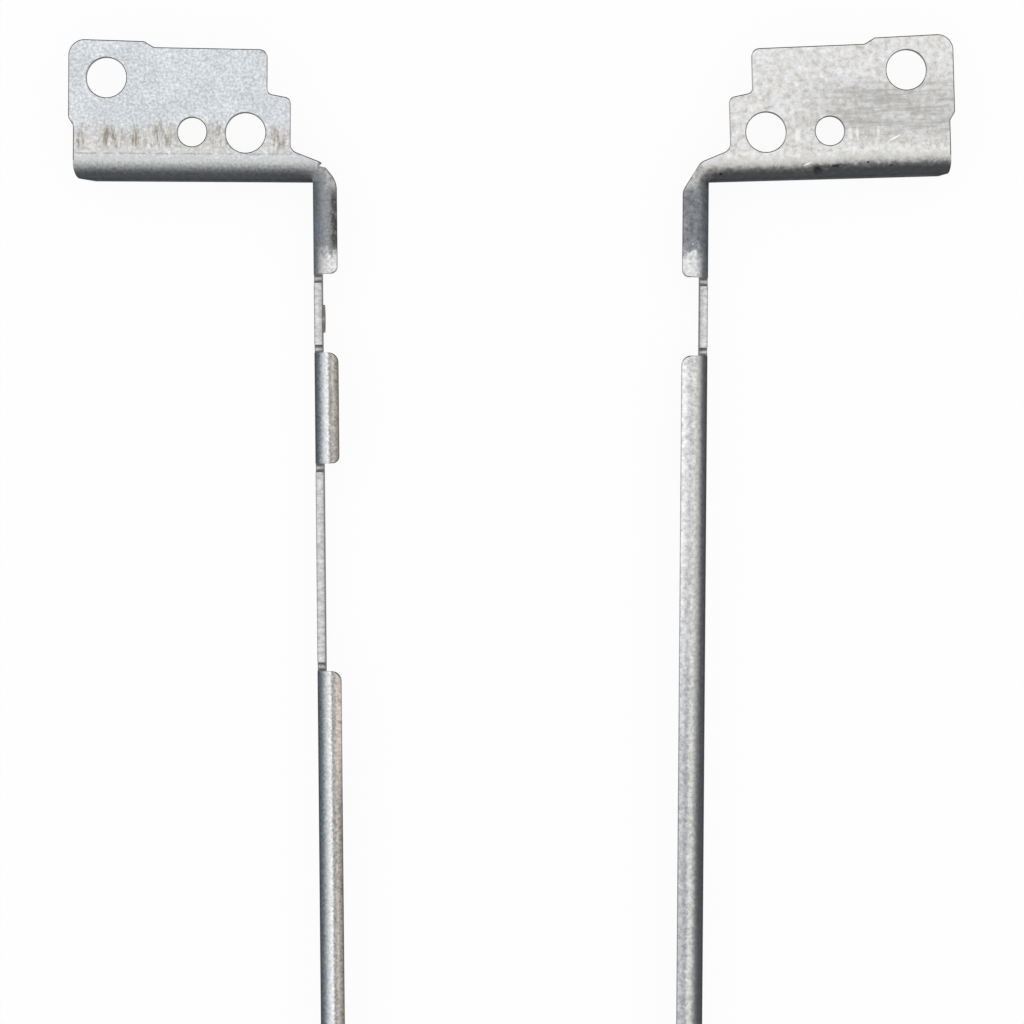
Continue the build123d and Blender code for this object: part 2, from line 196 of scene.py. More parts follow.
def mix_colour(tree, factor, first, second):
    """First colour, going over to the second as the factor rises."""
    mixer = add(tree, "ShaderNodeMix", data_type="RGBA")
    factor_in, first_in, second_in = mixer.inputs[0], mixer.inputs[6], mixer.inputs[7]
    for socket, value in ((factor_in, factor), (first_in, first), (second_in, second)):
        if isinstance(value, bpy.types.NodeSocket):
            tree.links.new(value, socket)
        else:
            socket.default_value = value
    return mixer.outputs[2]


def tones(tree, value, stops):
    """A row of colours along a measure; each stop is a place on the measure and its colour."""
    first, last = stops[0][0], stops[-1][0]
    limits = {"Value": value, "From Min": first, "From Max": last}
    share = add(tree, "ShaderNodeMapRange", limits).outputs["Result"]
    ramp = add(tree, "ShaderNodeValToRGB", {"Fac": share})
    stop_list = ramp.color_ramp.elements
    stop_list[0].color = stops[0][1]
    stop_list[-1].color = stops[-1][1]
    for place, colour in stops[1:-1]:
        stop_list.new((place - first) / (last - first)).color = colour
    return ramp.outputs["Color"]


def lighten(tree, colour, factor):
    """The colour, made lighter or darker by a factor."""
    return add(tree, "ShaderNodeVectorMath", {0: colour, "Scale": factor}, operation="SCALE").outputs[0]


def grain(tree, place, per_mm, stretch=(1, 1, 1), detail=3.0, roughness=0.6):
    """Noise with so many lumps per millimetre; a small stretch factor draws it out along that axis."""
    scaled = add(tree, "ShaderNodeMapping", {"Vector": place, "Scale": stretch})
    settings = {"Vector": scaled.outputs[0], "Scale": per_mm, "Detail": detail, "Roughness": roughness}
    return add(tree, "ShaderNodeTexNoise", settings).outputs["Fac"]


def spread(tree, noise, low, high):
    """Noise, drawn out so that it runs from low to high."""
    return step(tree, noise, NOISE_LOW, NOISE_HIGH, low, high)


def mark(tree, place, centre, half_size, turn=0.0, soft=0.6):
    """A soft spot: one in its middle and zero outside its half length and half width."""
    settings = {
        "Vector": place,
        "Location": (*centre, 0),
        "Rotation": (0, 0, radians(turn)),
        "Scale": (*half_size, 1),
    }
    local = add(tree, "ShaderNodeMapping", settings, vector_type="TEXTURE").outputs[0]
    first, second, _ = axes(tree, local)
    return step(tree, length_of(tree, first, second), 1.0, 1.0 - soft)


def brightest(tree, *masks):
    """Where any of several masks is set."""
    joined = masks[0]
    for mask in masks[1:]:
        joined = compute(tree, "MAXIMUM", joined, mask)
    return joined


def marks(tree, place, spots, turn=0.0):
    """Where any of several soft spots lies; each spot is its centre and its two half sizes."""
    masks = [mark(tree, place, (along, up), (wide, high), turn) for along, up, wide, high in spots]
    return brightest(tree, *masks)


# %% [markdown]
# ## Rulers on a bracket
# Each hand has two rulers in millimetres with their zero at the fold corner: one lies along the screw plate,
# the other along the rail. A Mapping node of the texture kind subtracts the corner, turns the ruler and
# divides by a millimetre, and a negative scale mirrors it, so that both hands share one set of directions.
# From the two comes a third measure, the distance in from the bend's outer face, which runs round the corner.
# Right at the corner the sheet was pressed flatter, so there the bend's tones, which are painted shade, are
# read a little further in.

# %% Bracket rulers
FOLD_RADIUS = 0.2
CORNER_LIFT = 0.4
CORNER_REACH = 1.7
LEAST_SIDEWAYS = 0.001
CORNER_LEAN = 2.6
LIP_REACH = {"left": CORNER_LEAN, "right": 0.0}
LIP_DROP = {"left": 0.0, "right": 0.7}


def ruler(tree, hand, tilt):
    """Millimetres from the fold corner: outward, up the picture and out of the sheet."""
    settings = {
        "Vector": add(tree, "ShaderNodeTexCoord").outputs["Object"],
        "Location": (*fold_corner[hand].xy, 0),
        "Rotation": (0, 0, radians(tilt)),
        "Scale": (OUTWARD[hand] * MM, MM, MM),
    }
    return add(tree, "ShaderNodeMapping", settings, vector_type="TEXTURE").outputs[0]


def measure(tree, hand):
    """Everything that a bracket's finish needs to know about a spot."""
    spot = SimpleNamespace()
    spot.plate = ruler(tree, hand, plate_tilt[hand])
    spot.rail = ruler(tree, hand, rail_tilt[hand])
    spot.along, spot.up, spot.height = axes(tree, spot.plate)
    across, spot.down, _ = axes(tree, spot.rail)
    beside = compute(tree, "MAXIMUM", compute(tree, "SUBTRACT", FOLD_RADIUS, across), 0.0)
    above = compute(tree, "MAXIMUM", compute(tree, "ADD", spot.up, FOLD_RADIUS), 0.0)
    spot.fold = compute(tree, "SUBTRACT", length_of(tree, beside, above), FOLD_RADIUS)
    at_corner = mark(tree, spot.rail, (0, 0), (CORNER_REACH, CORNER_REACH), soft=1.0)
    spot.tone_place = compute(tree, "ADD", spot.fold, times(tree, at_corner, CORNER_LIFT))
    spot.inside_corner = compute(tree, "SUBTRACT", times(tree, across, -CORNER_LEAN), spot.down)
    below = compute(tree, "ADD", spot.down, LIP_DROP[hand])
    spot.past_corner = compute(tree, "SUBTRACT", times(tree, across, -LIP_REACH[hand]), below)
    normal = add(tree, "ShaderNodeTexCoord").outputs["Normal"]
    facing_right, facing_up, spot.facing_front = axes(tree, normal)
    sideways = compute(tree, "MAXIMUM", length_of(tree, facing_right, facing_up), LEAST_SIDEWAYS)
    spot.rim_up = compute(tree, "DIVIDE", facing_up, sideways)
    spot.rim_out = compute(tree, "DIVIDE", times(tree, facing_right, OUTWARD[hand]), sideways)
    return spot


# %% [markdown]
# ## What both brackets share
# A sheet that was sheared and bent has more than one surface. Where it was cut away, the raw edge shows, pale
# and crossed by fine shear marks. The front edges are rounded by the die: they carry a thin line of painted
# shade, dark blue on edges that look up the rail or outward, brownish on those that look down it, and faint
# on inner sides. Walls and the hidden side take a darker zinc with drawing lines, which is painted shade, and
# the wall below a plate is darker still, also painted shade. The direction of the surface and its height tell
# all these apart, so no edge has to be marked.

# %% Raw edges, rims and walls
RAW_EDGE_HEIGHT = 3.8
RAW_EDGE_TONES = [
    (0.0, chart(120, 121, 125)),
    (0.12, chart(206, 206, 209)),
    (0.35, chart(214, 213, 215)),
    (0.7, chart(197, 194, 194)),
    (0.82, chart(150, 145, 142)),
]
# Thin line on the rounded edges: painted shade, bluish or brownish by the way the edge faces
RIM_PAINTED_SHADE_BLUE = chart(22, 30, 46)
RIM_PAINTED_SHADE_BROWN = chart(92, 74, 54)
RIM_FAINT = 0.12
RIM_OUTER = 0.85
RIM_LOWER = 0.6
SLOT_SHADE = chart(176, 172, 168)
# Wall tones: the darker levels on walls, the hidden side and the wall below a plate are painted shade
WALL_BELOW_PLATE_PAINTED_SHADE = [(0.0, chart(98, 100, 103)), (1.8, chart(86, 88, 91)), (3.9, chart(76, 78, 81))]
WALL_PAINTED_SHADE = [(0.3, chart(130, 131, 133)), (0.5, chart(148, 150, 153)), (0.7, chart(165, 168, 171))]

# Each pair of limits says where something begins to show on its measure and where it shows in full
CUT_BELOW = (RAW_EDGE_HEIGHT + 0.08, RAW_EDGE_HEIGHT + 0.02)
SLOT_BELOW = (RAW_EDGE_HEIGHT + 0.3, RAW_EDGE_HEIGHT + 0.1)
SLOT_CROSSWISE = (0.6, 0.8)
SLOT_ON_RAIL = (-2.0, -3.0)
SLOT_TURNED = (0.97, 0.8)
RIM_BROWN_TO_BLUE = (-0.3, 0.3)
RIM_LOOKS_UP = (0.2, 0.8)
RIM_LOOKS_OUT = (0.2, 0.8)
RIM_LOOKS_DOWN = (-0.4, -0.9)
RIM_TURNED = (0.998, 0.92)
RIM_PAST_BEND = (1.72, 1.85)
WALL_OUTSIDE = (0.5, 0.3)
WALL_LOOKS_DOWN = (-0.5, -0.8)
WALL_TURNED = (0.3, 0.1)


def raw_edges(tree, spot, colour):
    """Pale cut edges behind the lip gaps, crossed by fine shear marks."""
    shear_marks = grain(tree, spot.rail, per_mm=2.6, stretch=(0.5, 1, 0.5), detail=5.0, roughness=0.7)
    pale = tones(tree, spot.fold, RAW_EDGE_TONES)
    pale = lighten(tree, pale, spread(tree, shear_marks, 0.68, 1.15))
    return mix_colour(tree, step(tree, spot.height, *CUT_BELOW), colour, pale)


def slot_sides(tree, spot, colour):
    """Greyer sides of the relief slots and of other cuts that run across the rail."""
    crosswise = step(tree, compute(tree, "ABSOLUTE", spot.rim_up), *SLOT_CROSSWISE)
    on_rail = step(tree, spot.down, *SLOT_ON_RAIL)
    turned = step(tree, spot.facing_front, *SLOT_TURNED)
    below_lip = step(tree, spot.height, *SLOT_BELOW)
    return mix_colour(tree, times(tree, crosswise, on_rail, turned, below_lip), colour, SLOT_SHADE)


def painted_rim_shade(tree, spot, colour):
    """The thin line of painted shade on the rounded front edges and round the holes."""
    rim = mix_colour(tree, step(tree, spot.rim_up, *RIM_BROWN_TO_BLUE), RIM_PAINTED_SHADE_BROWN, RIM_PAINTED_SHADE_BLUE)
    upper = step(tree, spot.rim_up, *RIM_LOOKS_UP, RIM_FAINT, 1.0)
    outer = step(tree, spot.rim_out, *RIM_LOOKS_OUT, RIM_FAINT, RIM_OUTER)
    lower = step(tree, spot.rim_up, *RIM_LOOKS_DOWN, RIM_FAINT, RIM_LOWER)
    turned = step(tree, spot.facing_front, *RIM_TURNED)
    beyond_bend = step(tree, spot.fold, *RIM_PAST_BEND)
    share = times(tree, turned, beyond_bend, brightest(tree, upper, outer, lower))
    return mix_colour(tree, share, colour, rim)


def walls(tree, spot, colour):
    """Darker zinc with drawing lines on the walls and the hidden side, darker still on the wall below the
    plate; both darker levels are painted shade.
    """
    lines = grain(tree, spot.rail, per_mm=2.2, stretch=(1, 1, 0.12), detail=4.0)
    painted_shade_below = lighten(tree, tones(tree, spot.height, WALL_BELOW_PLATE_PAINTED_SHADE), spread(tree, lines, 0.8, 1.2))
    is_outside = step(tree, spot.fold, *WALL_OUTSIDE)
    below_plate = times(tree, is_outside, step(tree, spot.rim_up, *WALL_LOOKS_DOWN))
    wall = mix_colour(tree, below_plate, tones(tree, lines, WALL_PAINTED_SHADE), painted_shade_below)
    return mix_colour(tree, step(tree, spot.facing_front, *WALL_TURNED), colour, wall)


# %% [markdown]
# ## A bracket's material
# Both brackets are made by one recipe that takes the tones of the plate and of the lip. The metal is matt
# zinc, so it is fully metallic and rather rough. The same crystal pattern drives the colour, the roughness
# and a bump of a few thousandths of a millimetre, because on real zinc one crystal changes all three. A clean
# metal flashes white where it is seen almost edge-on. Zinc with its dull skin hardly does, so the shader's
# edge colour, which it calls the specular tint, is a mid grey.

# %% Bracket recipe
CRYSTALS_PER_MM = {"left": 3.6, "right": 2.6}
CRYSTAL_HEIGHT = 0.004 * MM
ZINC_ROUGHNESS = (0.58, 0.42)
DULLER_WALLS = 0.35
DULL_SKIN = (0.5, 0.5, 0.5, 1.0)
CORNER_GREY = {
    "left": [(0.34, chart(122, 118, 112)), (0.5, chart(162, 161, 159)), (0.66, chart(196, 197, 199))],
    "right": [(0.34, chart(118, 116, 113)), (0.5, chart(160, 160, 159)), (0.66, chart(204, 205, 207))],
}
CORNER_INNER = (1.0, 1.5)
CORNER_BESIDE_PLATE = (0.0, 1.0)
CORNER_BAND = (-1.0, 1.4)
CORNER_SHARE = 0.8
LIP_BEGINS = (-0.4, 0.5)


def new_metal(name):
    """A fully metallic material, with its tree and its shader."""
    material = bpy.data.materials.new(name)
    material.use_nodes = True
    shader = material.node_tree.nodes["Principled BSDF"]
    shader.inputs["Metallic"].default_value = 1.0
    return material, material.node_tree, shader


def connect_finish(tree, shader, colour, roughness, relief, depth):
    """Leads a colour, a roughness and a relief of some depth into the shader."""
    bump = add(tree, "ShaderNodeBump", {"Height": relief, "Strength": 1.0, "Distance": depth})
    tree.links.new(colour, shader.inputs["Base Color"])
    tree.links.new(roughness, shader.inputs["Roughness"])
    tree.links.new(bump.outputs["Normal"], shader.inputs["Normal"])


def corner_mottle(tree, spot, hand, colour):
    """Mottled grey on the corner between plate and lip."""
    mottle = grain(tree, spot.rail, per_mm=2.4, detail=4.0, roughness=0.65)
    grey = tones(tree, mottle, CORNER_GREY[hand])
    inner = step(tree, spot.fold, *CORNER_INNER)
    beside_plate = step(tree, spot.inside_corner, *CORNER_BESIDE_PLATE)
    share = times(tree, inner, beside_plate, band(tree, spot.down, *CORNER_BAND, soft=0.4), CORNER_SHARE)
    return mix_colour(tree, share, colour, grey)


def dress_bracket(hand, plate_tones, lip_tones):
    """Gives the bracket of one hand its finish."""
    material, tree, shader = new_metal(f"{hand}_bracket_zinc")
    shader.inputs["Specular Tint"].default_value = DULL_SKIN
    spot = measure(tree, hand)
    spot.crystals = grain(tree, spot.plate, CRYSTALS_PER_MM[hand], detail=4.0, roughness=0.7)
    on_lip = step(tree, spot.past_corner, *LIP_BEGINS)
    colour = mix_colour(tree, on_lip, plate_tones(tree, spot), lip_tones(tree, spot))
    colour = corner_mottle(tree, spot, hand, colour)
    for layer in (raw_edges, painted_rim_shade, walls, slot_sides):
        colour = layer(tree, spot, colour)
    duller_walls = step(tree, spot.facing_front, *WALL_TURNED, 0.0, DULLER_WALLS)
    roughness = compute(tree, "ADD", spread(tree, spot.crystals, *ZINC_ROUGHNESS), duller_walls)
    connect_finish(tree, shader, colour, roughness, spot.crystals, CRYSTAL_HEIGHT)
    frame["nodes"][f"{hand}_screen_bracket"].material_slots[0].material = material
    print(hand, "bracket nodes:", len(tree.nodes))


# %% [markdown]
# ## Left plate: cool zinc with drawn streaks
# The left plate is plain galvanised sheet, a cool light grey in which tiny crystals catch the light. Above
# its bend the forming tool has dragged brownish streaks, strongest at a few places, over a beige strip with
# pale blotches, and a broken brown line shows where the tool's edge stood. The streaks are noise that is
# squeezed along the plate and drawn out across it. Towards the bend the sheet darkens step by step: this is
# painted shade of the bend.

# %% Left plate tones
LEFT_ZINC = [(0.34, chart(191, 195, 200)), (0.5, chart(207, 211, 215)), (0.66, chart(225, 228, 230))]
# Painted shade of the bend: darkest at its outer face, lighter towards the flat plate
LEFT_BEND_PAINTED_SHADE = [
    (0.0, chart(82, 84, 88)),
    (0.4, chart(89, 93, 97)),
    (0.75, chart(117, 119, 121)),
    (1.25, chart(164, 164, 164)),
    (1.75, chart(199, 200, 201)),
    (2.2, chart(203, 205, 207)),
]
STREAK_BROWN = chart(146, 135, 120)
STREAK_BEIGE = chart(204, 200, 193)
BLOTCH_PALE = chart(229, 227, 222)
STREAK_SPOTS = ((23.2, 0.6), (20.0, 1.4), (17.7, 0.6), (15.4, 1.7), (9.0, 1.0), (3.4, 1.2))
STREAK_HEIGHT = 4.1
STREAK_HALF_HEIGHT = 1.8
STREAK_FOOT = 2.45
STREAK_TOP = 5.2
STREAK_RAGGED = 0.7
STREAK_LEAST = 0.4
BEIGE_SHARE = 0.75
BLOTCH_FOOT = STREAK_FOOT + 0.15
BLOTCH_TOP = 3.9
BLOTCH_SHARE = 0.8
LINE_HALF_WIDTH = 0.07
LINE_SHARE = 0.62
LEFT_RAGGED = 0.16
LEFT_BEND_BORDER = (2.5, 1.9)


def left_streaks(tree, spot, colour):
    """Brown streaks over a beige strip with pale blotches, which the tool has dragged along."""
    drawn = grain(tree, spot.plate, per_mm=1.5, stretch=(1.5, 0.4, 1), detail=5.0, roughness=0.75)
    ragged_top = compute(tree, "ADD", spot.up, spread(tree, drawn, STREAK_RAGGED, -STREAK_RAGGED))
    zone = band(tree, ragged_top, STREAK_FOOT, STREAK_TOP, soft=0.4)
    patches = grain(tree, spot.plate, per_mm=1.8, stretch=(1, 1.2, 1), detail=5.0)
    beige = times(tree, zone, step(tree, patches, 0.6, 0.4), BEIGE_SHARE)
    colour = mix_colour(tree, beige, colour, STREAK_BEIGE)
    low_zone = band(tree, spot.up, BLOTCH_FOOT, BLOTCH_TOP, soft=0.35)
    pale = times(tree, low_zone, step(tree, patches, 0.47, 0.6), BLOTCH_SHARE)
    colour = mix_colour(tree, pale, colour, BLOTCH_PALE)
    spots = [(along, STREAK_HEIGHT, width, STREAK_HALF_HEIGHT) for along, width in STREAK_SPOTS]
    at_spots = times(tree, marks(tree, spot.plate, spots), 1.0 - STREAK_LEAST)
    strength = compute(tree, "ADD", at_spots, STREAK_LEAST)
    share = times(tree, zone, step(tree, drawn, 0.44, 0.66), strength)
    colour = mix_colour(tree, share, colour, STREAK_BROWN)
    broken = step(tree, grain(tree, spot.plate, per_mm=1.1, stretch=(1, 0.3, 1), detail=4.0), 0.38, 0.56)
    line = band(tree, spot.up, STREAK_FOOT - LINE_HALF_WIDTH, STREAK_FOOT + LINE_HALF_WIDTH, soft=0.09)
    return mix_colour(tree, times(tree, times(tree, line, broken), LINE_SHARE), colour, STREAK_BROWN)


def left_plate(tree, spot):
    """Colour of the left screw plate and its bend, whose darkening is painted shade."""
    cloud = grain(tree, spot.plate, per_mm=0.45, detail=3.0)
    colour = tones(tree, spot.crystals, LEFT_ZINC)
    colour = lighten(tree, colour, spread(tree, cloud, 0.94, 1.06))
    colour = left_streaks(tree, spot, colour)
    ragged = compute(tree, "ADD", spot.tone_place, spread(tree, spot.crystals, -LEFT_RAGGED, LEFT_RAGGED))
    return mix_colour(tree, step(tree, ragged, *LEFT_BEND_BORDER), colour, tones(tree, ragged, LEFT_BEND_PAINTED_SHADE))


# %% [markdown]
# ## Left lip: dark, stained and polished
# The lip comes in three lengths. The first is darker all over and darkest on its bend, which is painted
# shade, with a brown stain along its free edge and a bright polished pad at its end. The other two are bluish
# and dark on the bend, which is painted shade, bright along its crest, which is a painted highlight, and turn
# dull, mottled and rusty towards the free edge, which is a clean beige on the upper part of the last length.
# Each is a row of tones across the lip, with its borders made uneven, and the rust is speckled noise that is
# let through only along the edge.

# %% Left lip tones
# Across the first lip: darkest on the bend, which is painted shade
LEFT_FIRST_LIP_WITH_PAINTED_SHADE = [
    (0.1, chart(106, 113, 117)),
    (0.5, chart(132, 141, 147)),
    (0.9, chart(156, 161, 166)),
    (1.6, chart(141, 144, 147)),
    (2.2, chart(124, 124, 124)),
]
# Across the long lips: dark on the bend, painted shade; bright on the crest, painted highlight; duller
# towards the free edge
LEFT_LONG_LIP_WITH_PAINTED_LIGHT = [
    (0.1, chart(82, 85, 89)),
    (0.25, chart(105, 110, 118)),
    (0.4, chart(115, 124, 131)),
    (0.55, chart(150, 158, 164)),
    (0.8, chart(213, 218, 222)),
    (1.0, chart(240, 242, 244)),
    (1.34, chart(239, 240, 242)),
    (1.52, chart(158, 157, 156)),
    (1.75, chart(168, 166, 162)),
    (1.92, chart(188, 183, 176)),
    (2.08, chart(168, 161, 153)),
    (2.3, chart(138, 132, 127)),
]
LIP_STAIN = chart(72, 69, 68)
LIP_PAD = chart(216, 216, 217)
LIP_RUST = chart(112, 92, 72)
FREE_EDGE_BEIGE = chart(216, 206, 193)
# Places down the rail, from the fold corner
LIP_GAP = (-11.0, -15.0)
STAINED_LENGTH = (-6.95, -1.4)
LEFT_PAD_BORDER = (-6.6, -7.9)
RUST_GROWS = (-56.0, -66.0)
CLEAN_LENGTH = (-59.0, -49.0)
# Places across the lip, in from the bend
STAINED_EDGE = (1.65, 2.1)
LEFT_PAD_EDGE = (0.25, 1.0)
LIP_FLAT = (1.45, 1.6)
RUSTY_EDGE = (1.75, 2.1)
CLEAN_EDGE = (1.84, 2.0)
STAIN_SHARE = 0.9
CLEAN_SHARE = 0.85


def left_lip(tree, spot):
    """Colour of the left rail's lip in its three lengths, with painted shade on the bend and a painted
    highlight on the crest.
    """
    uneven = grain(tree, spot.rail, per_mm=3.4, detail=5.0, roughness=0.7)
    ragged = compute(tree, "ADD", spot.tone_place, spread(tree, uneven, -0.09, 0.09))
    specks = grain(tree, spot.rail, per_mm=2.2, stretch=(1, 0.7, 1), detail=5.0, roughness=0.7)
    first = tones(tree, ragged, LEFT_FIRST_LIP_WITH_PAINTED_SHADE)
    stained_length = band(tree, spot.down, *STAINED_LENGTH, soft=0.35)
    gathered = step(tree, specks, 0.64, 0.46, 0.25, 1.0)
    stain = times(tree, stained_length, step(tree, ragged, *STAINED_EDGE), gathered)
    first = mix_colour(tree, times(tree, stain, STAIN_SHARE), first, LIP_STAIN)
    pad_place = compute(tree, "ADD", spot.down, spread(tree, specks, -0.7, 0.7))
    pad = times(tree, step(tree, ragged, *LEFT_PAD_EDGE), step(tree, pad_place, *LEFT_PAD_BORDER))
    first = mix_colour(tree, pad, first, LIP_PAD)
    long = tones(tree, ragged, LEFT_LONG_LIP_WITH_PAINTED_LIGHT)
    on_flat = step(tree, spot.fold, *LIP_FLAT)
    mottled = compute(tree, "ADD", 1.0, times(tree, on_flat, spread(tree, specks, -0.3, 0.3)))
    long = lighten(tree, long, mottled)
    rusty_length = step(tree, spot.down, *RUST_GROWS, 0.3, 0.65)
    rust = times(tree, step(tree, spot.fold, *RUSTY_EDGE), step(tree, specks, 0.5, 0.62), rusty_length)
    long = mix_colour(tree, rust, long, LIP_RUST)
    clean_length = band(tree, spot.down, *CLEAN_LENGTH, soft=6.0)
    clean_edge = times(tree, clean_length, step(tree, ragged, *CLEAN_EDGE), step(tree, specks, 0.68, 0.5))
    long = mix_colour(tree, times(tree, clean_edge, CLEAN_SHARE), long, FREE_EDGE_BEIGE)
    colour = mix_colour(tree, step(tree, spot.down, *LIP_GAP), first, long)
    return lighten(tree, colour, spread(tree, spot.crystals, 0.8, 1.18))


dress_bracket("left", left_plate, left_lip)

# %% [markdown]
# ## Right plate: blotched zinc with rolling lines
# The right plate comes from another batch of sheet. Its zinc is blotched light and brownish grey, and over
# its outer half the rolling lines show. It also has single marks: pale upright dents, two white scratches,
# and a smudge and dark specks on the bend. Every one is a soft spot at its own place, laid over the grain.
# Towards the bend the sheet darkens, which is painted shade, and just above the bend a pale band is a
# painted highlight.

# %% Right plate tones
RIGHT_ZINC = [
    (0.32, chart(189, 185, 178)),
    (0.45, chart(211, 209, 206)),
    (0.57, chart(221, 222, 223)),
    (0.7, chart(235, 237, 240)),
]
# Painted shade of the bend: darkest at its outer face, lighter towards the flat plate
RIGHT_BEND_PAINTED_SHADE = [
    (0.0, chart(80, 82, 84)),
    (0.5, chart(89, 92, 96)),
    (0.85, chart(122, 121, 120)),
    (1.25, chart(186, 184, 180)),
    (1.55, chart(204, 204, 202)),
    (2.1, chart(208, 207, 205)),
]
ROLLED_GREY = chart(172, 171, 168)
# Pale colour of the dents, used also for the painted highlight just above the bend
PALE_DENT_AND_HIGHLIGHT = chart(236, 235, 232)
SCRATCH_WHITE = chart(250, 249, 247)
SCRATCH_TURN = 25.0
SMUDGE_DARK = chart(40, 40, 42)
SCRATCHES = ((18.6, 3.6, 0.95, 0.1), (9.85, 1.25, 0.6, 0.08))
DARK_SPECKS = ((1.15, 0.5, 0.22, 0.16), (15.9, 1.25, 0.2, 0.15), (18.2, 0.9, 0.24, 0.1))
BLOT = (10.85, 0.75)
BLOT_TURN = 20.0
TAIL = (12.6, 1.0)
TAIL_TURN = 2.0
LINED_OUTWARD = (6.0, 16.0)
LINED_BAND = (3.8, 9.2)
LINED_DARKER = 0.14
LINES_SHARE = 0.8
DENT_SHARE = 0.7
BEND_HIGHLIGHT_BAND = (2.0, 2.9)
BEND_HIGHLIGHT_SHARE = 0.3
BEND_LATER = (10.0, 15.0)
BEND_LATER_BY = 0.24
RIGHT_RAGGED = 0.2
RIGHT_BEND_BORDER = (2.3, 1.6)
SMUDGE_SHARE = 0.9
DENTS = ((14.2, 4.1, 0.3, 0.9), (14.9, 4.2, 0.2, 0.7), (17.0, 4.3, 0.2, 0.75), (8.9, 4.1, 0.35, 0.9))


def right_plate(tree, spot):
    """Colour of the right screw plate and its bend, with painted shade on the bend and a painted highlight
    just above it.
    """
    blotches = grain(tree, spot.plate, per_mm=1.9, detail=5.0, roughness=0.68)
    colour = tones(tree, blotches, RIGHT_ZINC)
    lines = step(tree, grain(tree, spot.plate, per_mm=2.2, stretch=(0.12, 1.3, 1), detail=4.0), 0.42, 0.66)
    lined = times(tree, step(tree, spot.along, *LINED_OUTWARD), band(tree, spot.up, *LINED_BAND, soft=1.3))
    colour = lighten(tree, colour, compute(tree, "SUBTRACT", 1.0, times(tree, lined, LINED_DARKER)))
    colour = mix_colour(tree, times(tree, lines, lined, LINES_SHARE), colour, ROLLED_GREY)
    dents = marks(tree, spot.plate, DENTS)
    colour = mix_colour(tree, times(tree, dents, DENT_SHARE), colour, PALE_DENT_AND_HIGHLIGHT)
    # A pale band just above the bend, broken up by the blotches: a painted highlight
    painted_highlight = times(tree, band(tree, spot.up, *BEND_HIGHLIGHT_BAND, soft=0.3), step(tree, blotches, 0.35, 0.55))
    colour = mix_colour(tree, times(tree, painted_highlight, BEND_HIGHLIGHT_SHARE), colour, PALE_DENT_AND_HIGHLIGHT)
    later = step(tree, spot.along, *BEND_LATER, 0.0, BEND_LATER_BY)
    ragged = compute(tree, "SUBTRACT", spot.tone_place, later)
    ragged = compute(tree, "ADD", ragged, spread(tree, blotches, -RIGHT_RAGGED, RIGHT_RAGGED))
    colour = mix_colour(tree, step(tree, ragged, *RIGHT_BEND_BORDER), colour, tones(tree, ragged, RIGHT_BEND_PAINTED_SHADE))
    blot = mark(tree, spot.plate, BLOT, (0.75, 0.75), turn=BLOT_TURN, soft=0.9)
    tail = mark(tree, spot.plate, TAIL, (1.8, 0.3), turn=TAIL_TURN, soft=0.9)
    smudge = times(tree, brightest(tree, blot, tail), step(tree, blotches, 0.66, 0.46))
    dark = brightest(tree, smudge, marks(tree, spot.plate, DARK_SPECKS))
    colour = mix_colour(tree, times(tree, dark, SMUDGE_SHARE), colour, SMUDGE_DARK)
    scratches = marks(tree, spot.plate, SCRATCHES, turn=SCRATCH_TURN)
    return mix_colour(tree, scratches, colour, SCRATCH_WHITE)


# %% [markdown]
# ## Right lip: one short length and one long
# The right rail has only one gap. Its short lip is dark like the left one, with painted shade on its bend and
# the same bright pad. The long lip is bright on the crest, a painted highlight, and again along the free
# edge, with a greyer strip between; its bend is dark with painted shade. Down the rail that strip grows
# bluish and the painted shade of the bend reaches further in, so there are two rows of tones, one for either
# end, and the place along the rail mixes them.

# %% Right lip tones
# Across the short lip: darkest on the bend, which is painted shade
RIGHT_FIRST_LIP_WITH_PAINTED_SHADE = [
    (0.1, chart(88, 91, 95)),
    (0.5, chart(117, 121, 126)),
    (0.9, chart(142, 146, 151)),
    (1.6, chart(123, 126, 131)),
    (2.3, chart(134, 135, 139)),
]
# Across the long lip near the corner: dark on the bend, painted shade; bright on the crest, painted highlight
RIGHT_UPPER_LIP_WITH_PAINTED_LIGHT = [
    (0.1, chart(80, 81, 84)),
    (0.3, chart(98, 99, 103)),
    (0.5, chart(118, 120, 123)),
    (0.7, chart(179, 179, 180)),
    (0.9, chart(215, 215, 213)),
    (1.2, chart(218, 217, 214)),
    (1.5, chart(206, 206, 205)),
    (1.7, chart(192, 193, 194)),
    (1.95, chart(208, 208, 209)),
    (2.3, chart(231, 231, 232)),
]
# Across the long lip further down: the painted shade of the bend reaches further in; bright crest, painted
# highlight
RIGHT_LOWER_LIP_WITH_PAINTED_LIGHT = [
    (0.1, chart(78, 78, 81)),
    (0.35, chart(92, 93, 98)),
    (0.5, chart(92, 94, 99)),
    (0.8, chart(131, 134, 137)),
    (1.1, chart(187, 187, 184)),
    (1.3, chart(207, 207, 204)),
    (1.6, chart(208, 208, 207)),
    (1.8, chart(174, 175, 178)),
    (1.95, chart(163, 165, 169)),
    (2.3, chart(187, 188, 191)),
]
LIP_BEIGE = chart(206, 202, 194)
BEIGE_ON_CREST = 0.6
RIGHT_PAD_BORDER = (-6.7, -8.2)
RIGHT_PAD_EDGE = (0.4, 1.1)
UPPER_TO_LOWER = (-27.0, -68.0)
CREST_BAND = (1.1, 1.6)


